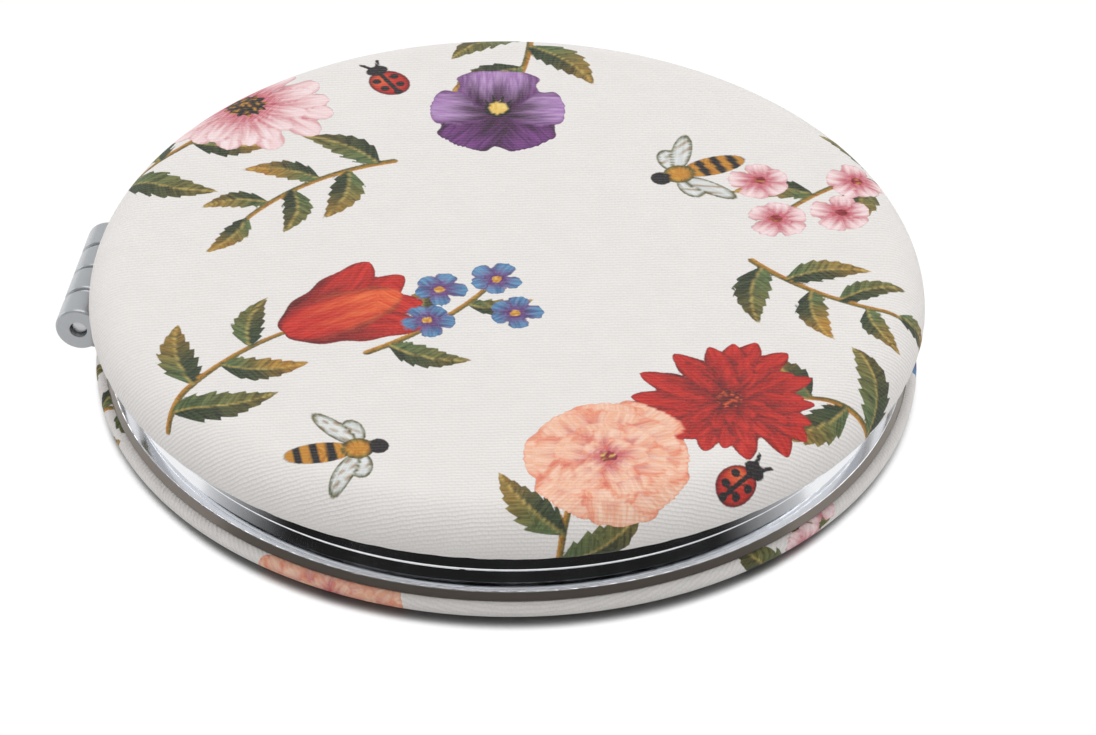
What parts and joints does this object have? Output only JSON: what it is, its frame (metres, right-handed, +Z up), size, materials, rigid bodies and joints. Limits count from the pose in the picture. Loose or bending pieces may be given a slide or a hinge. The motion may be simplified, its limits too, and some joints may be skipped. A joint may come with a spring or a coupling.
{
  "type": "compact mirror",
  "caption": "Round pocket compact with padded cloth covers on chromed rings, opening flat on a barrel hinge to show a plain mirror and a magnifying mirror.",
  "frame": {"origin": "middle of the flat underside of the base cover, on the axis of the round case", "axes": "+Z up through the closed case, -X towards the hinge, Y along the hinge pin"},
  "size_m": [0.0724, 0.07, 0.0118],
  "materials": {
    "ring_chrome": "bright chrome plate on cast zinc",
    "pin_steel": "ground steel",
    "washer_steel": "polished spring steel",
    "mirror_glass": "silvered glass",
    "foam_tape": "white foam tape",
    "clear_rubber": "clear soft silicone",
    "printed_cloth": "cream cotton twill with a printed flower pattern",
    "pad_foam": "open-cell foam",
    "shell_steel": "tinned steel sheet",
    "grey_board": "grey card",
    "ring_tape": "thin adhesive film",
    "magnet_nickel": "nickel plate"
  },
  "bodies": {
    "base": {"base_ring": "ring_chrome", "base_fabric": "printed_cloth", "base_foam": "pad_foam", "base_shell": "shell_steel", "base_board": "grey_board", "base_cover_tape": "ring_tape", "base_mirror": "mirror_glass", "base_mirror_tape": "foam_tape", "base_magnet": "magnet_nickel", "bumpers": "clear_rubber", "hinge_pin": "pin_steel", "rear_washer": "washer_steel", "front_washer": "washer_steel"},
    "lid": {"lid_ring": "ring_chrome", "lid_fabric": "printed_cloth", "lid_foam": "pad_foam", "lid_shell": "shell_steel", "lid_board": "grey_board", "lid_cover_tape": "ring_tape", "lid_mirror": "mirror_glass", "lid_mirror_tape": "foam_tape", "lid_magnet": "magnet_nickel"}
  },
  "joints": [
    {"name": "lid_hinge", "type": "hinge", "parent": "base", "child": "lid", "pos_m": [-0.0354, 0, 0.004], "axis": [0, -1, 0], "range_deg": [0, 180]}
  ]
}
